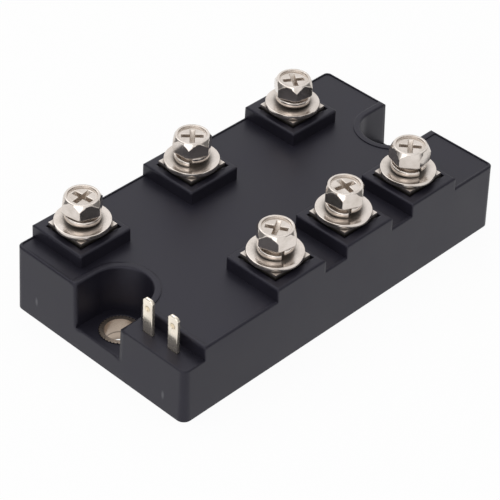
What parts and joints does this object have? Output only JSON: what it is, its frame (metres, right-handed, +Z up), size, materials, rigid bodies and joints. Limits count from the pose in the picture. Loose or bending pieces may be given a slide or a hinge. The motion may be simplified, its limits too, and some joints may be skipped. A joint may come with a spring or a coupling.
{
  "type": "bridge rectifier module",
  "caption": "Flat moulded power module on a metal base, with screw terminals on raised pads in two rows, two flat control tabs on a low shelf and a mounting notch at each short end.",
  "frame": {"origin": "middle of the underside of the base plate", "axes": "+X along the module away from the end with the control tabs, +Y towards the row of AC terminals, +Z up"},
  "size_m": [0.1006, 0.0534, 0.0292],
  "materials": {
    "housing": "satin moulded",
    "base_plate": "nickel plated copper",
    "sleeve": "tinned brass, knurled",
    "terminal_plate": "nickel plated brass",
    "nut": "zinc plated steel",
    "washer": "bright nickel on steel",
    "spring_washer": "bright nickel on steel",
    "screw": "bright nickel on steel",
    "tab": "tinned brass",
    "lead": "bare wire",
    "copper": "bare copper",
    "ceramic": "matt",
    "chip": "metallised silicon",
    "gel": "soft silicone gel"
  },
  "bodies": {
    "root": {"housing": "housing", "base_plate": "base_plate", "gel_fill": "gel", "ceramic_plate": "ceramic", "mounting_sleeve_1": "sleeve", "mounting_sleeve_2": "sleeve", "terminal_plate_1": "terminal_plate", "terminal_nut_1": "nut", "flat_washer_1": "washer", "spring_washer_1": "spring_washer", "terminal_screw_1": "screw", "terminal_plate_2": "terminal_plate", "terminal_nut_2": "nut", "flat_washer_2": "washer", "spring_washer_2": "spring_washer", "terminal_screw_2": "screw", "terminal_plate_3": "terminal_plate", "terminal_nut_3": "nut", "flat_washer_3": "washer", "spring_washer_3": "spring_washer", "terminal_screw_3": "screw", "terminal_plate_4": "terminal_plate", "terminal_nut_4": "nut", "flat_washer_4": "washer", "spring_washer_4": "spring_washer", "terminal_screw_4": "screw", "terminal_plate_5": "terminal_plate", "terminal_nut_5": "nut", "flat_washer_5": "washer", "spring_washer_5": "spring_washer", "terminal_screw_5": "screw", "terminal_plate_6": "terminal_plate", "terminal_nut_6": "nut", "flat_washer_6": "washer", "spring_washer_6": "spring_washer", "terminal_screw_6": "screw", "gate_tab": "tab", "gate_lead": "lead", "cathode_tab": "tab", "cathode_lead": "lead", "minus_land": "copper", "plus_land": "copper", "load_land": "copper", "phase_land_1": "copper", "phase_land_2": "copper", "phase_land_3": "copper", "thyristor_clip": "copper", "high_diode_1_clip": "copper", "low_diode_1_clip": "copper", "high_diode_2_clip": "copper", "low_diode_2_clip": "copper", "high_diode_3_clip": "copper", "low_diode_3_clip": "copper", "thyristor": "chip", "high_diode_1": "chip", "low_diode_1": "chip", "high_diode_2": "chip", "low_diode_2": "chip", "high_diode_3": "chip", "low_diode_3": "chip"}
  },
  "joints": []
}
